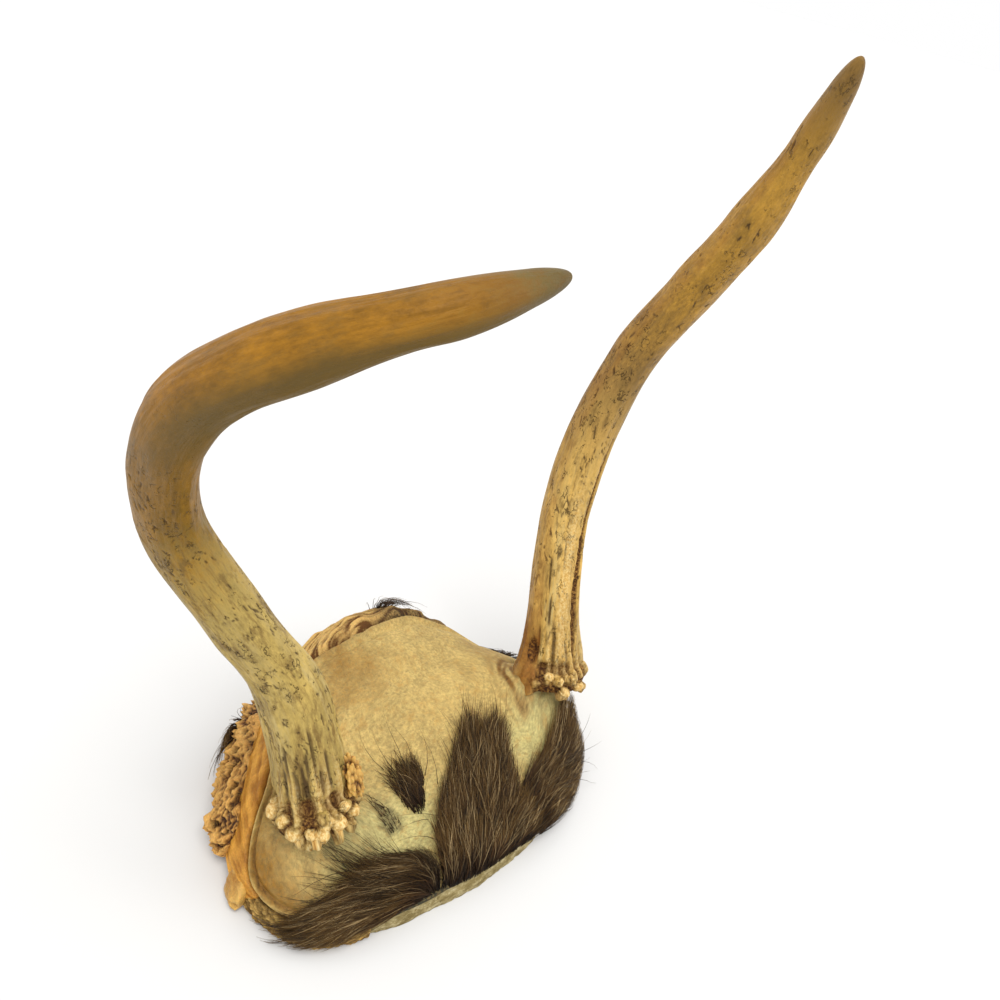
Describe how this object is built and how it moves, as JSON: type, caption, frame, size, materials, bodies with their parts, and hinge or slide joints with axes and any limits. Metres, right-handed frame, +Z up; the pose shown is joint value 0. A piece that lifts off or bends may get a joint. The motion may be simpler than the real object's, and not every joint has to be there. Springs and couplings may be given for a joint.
{
  "type": "deer antlers on a skull plate",
  "caption": "Sawn-off skull plate of a young deer with its unbranched antlers, dried hide and tufts of hair; a trophy or craft piece that rests on its flat cut.",
  "frame": {"origin": "on the flat sawn underside, midway between the feet of the two antlers", "axes": "+Z up from the saw cut, -Y to the nose, +X to the deer's left"},
  "size_m": [0.1541, 0.0896, 0.1999],
  "materials": {
    "bone": "dry porous bone, matt",
    "antler": "ridged antler, tan with brown flecks, satin",
    "dried_hide": "dried raw hide, yellow tan, satin",
    "dried_flesh": "dried flesh, amber brown, rough and partly glossy",
    "gristle": "dried gristle, pale amber, semi-gloss",
    "hair": "coarse dark deer hair with silvery strands"
  },
  "bodies": {
    "root": {"skull_plate": "bone", "hide": "dried_hide", "antler_right": "antler", "antler_left": "antler", "nape_tissue": "dried_flesh", "temporal_muscle_right": "dried_flesh", "flesh_crust_right": "dried_flesh", "flesh_crust_brow": "dried_flesh", "gristle_knob": "gristle", "burr_gristle": "gristle", "tuft_forehead": "hair", "tuft_brow_left": "hair", "tuft_brow_right": "hair", "tuft_spot_centre": "hair", "tuft_spot_burr": "hair", "tuft_temple_left": "hair", "tuft_nape": "hair", "tuft_ear": "hair"}
  },
  "joints": []
}
